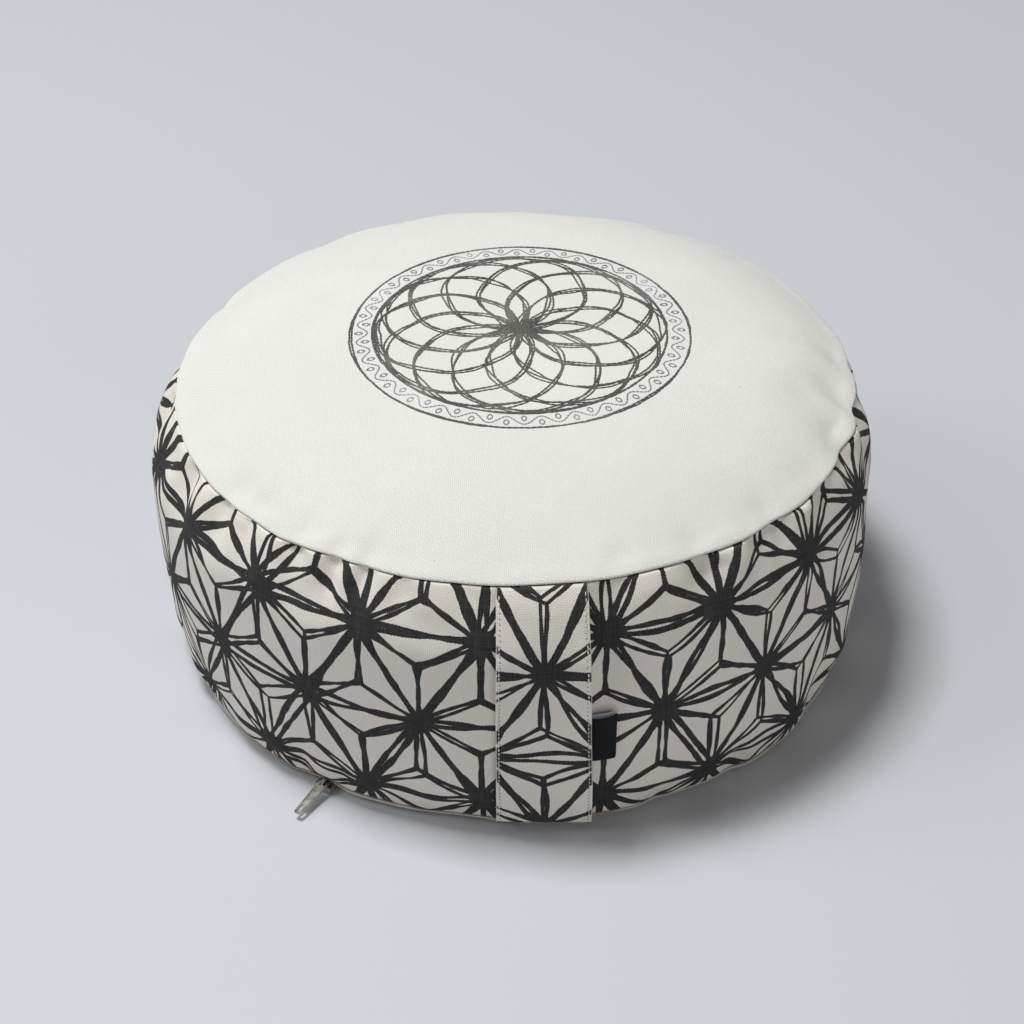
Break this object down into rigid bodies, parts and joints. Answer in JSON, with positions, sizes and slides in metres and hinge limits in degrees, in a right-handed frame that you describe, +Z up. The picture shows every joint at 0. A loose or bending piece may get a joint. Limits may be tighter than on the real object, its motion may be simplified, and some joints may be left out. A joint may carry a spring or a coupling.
{
  "type": "zafu meditation cushion",
  "caption": "Round meditation cushion, a squat filled drum with a crowned plain top, a printed side band, a flat base, an upright fabric strap, a folded tab and a zip pull.",
  "frame": {"origin": "middle of the flat underside, on the surface that the cushion stands on", "axes": "+Z up through the middle of the drum; -Y outwards through the middle of the strap; +X to the right of the strap as seen from outside"},
  "size_m": [0.3303, 0.3356, 0.1523],
  "materials": {
    "band_canvas": "matte off-white cotton canvas printed with charcoal line work",
    "top_canvas": "matte off-white cotton canvas, fine twill",
    "base_canvas": "matte off-white cotton canvas",
    "strap_canvas": "matte off-white cotton canvas printed with charcoal line work, edges topstitched",
    "tab_weave": "black woven ribbon, slight satin",
    "slider_metal": "dull nickel plate",
    "pull_metal": "dull nickel plate"
  },
  "bodies": {
    "root": {"side_band": "band_canvas", "top_panel": "top_canvas", "base_panel": "base_canvas", "side_strap": "strap_canvas", "side_tab": "tab_weave", "zip_slider": "slider_metal", "zip_pull": "pull_metal"}
  },
  "joints": []
}
